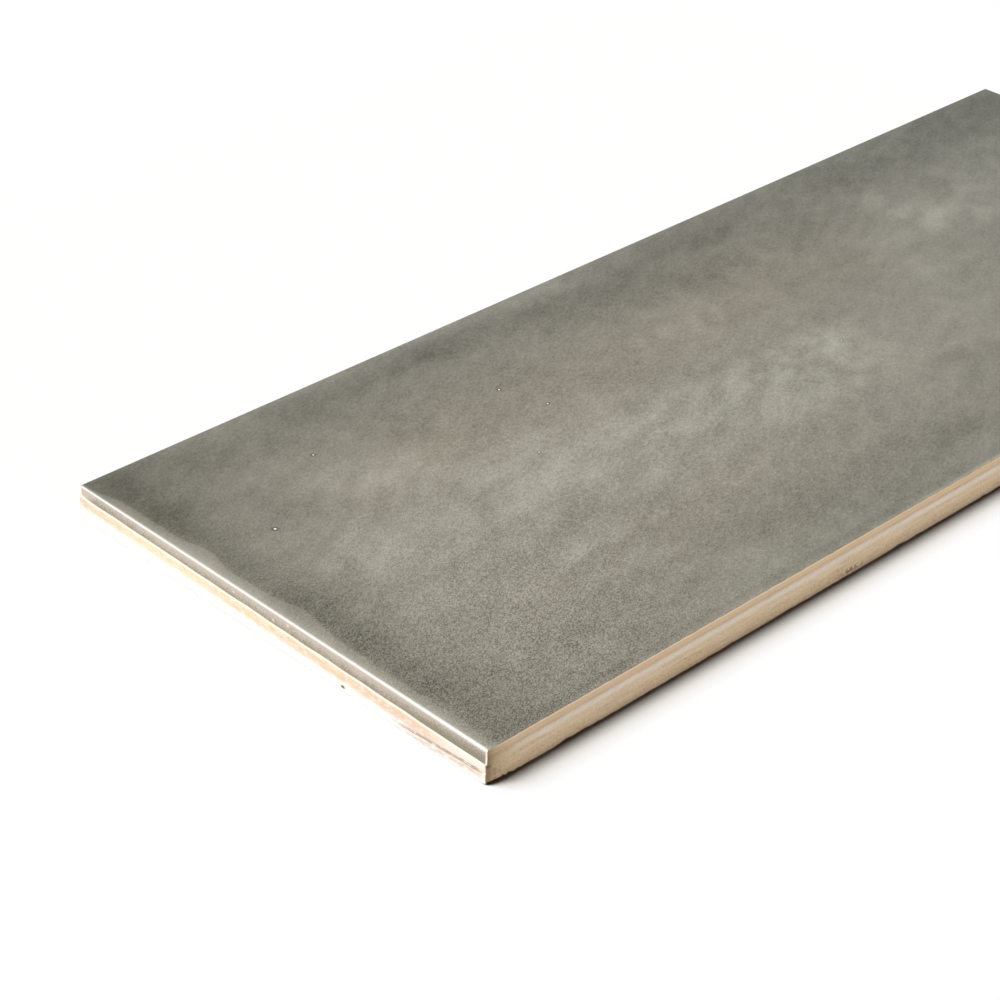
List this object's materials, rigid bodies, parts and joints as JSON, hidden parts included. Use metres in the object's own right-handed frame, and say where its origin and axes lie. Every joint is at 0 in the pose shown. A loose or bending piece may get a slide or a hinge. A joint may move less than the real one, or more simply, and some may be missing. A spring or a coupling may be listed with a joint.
{
  "type": "subway wall tile",
  "caption": "Flat rectangular ceramic wall tile with a cloudy grey glazed face, stepped bare biscuit edges and a ribbed back that keys into adhesive.",
  "frame": {"origin": "middle of the tile's footprint, on the plane of the back that it lies on", "axes": "+X along the length, +Y across the width, +Z out of the glazed face"},
  "size_m": [0.25, 0.1, 0.0065],
  "materials": {
    "glazed_body": "cloudy warm grey satin glaze over the face and down the short edges, bare beige biscuit on the long edges and the back"
  },
  "bodies": {
    "root": {"wall_tile": "glazed_body"}
  },
  "joints": []
}
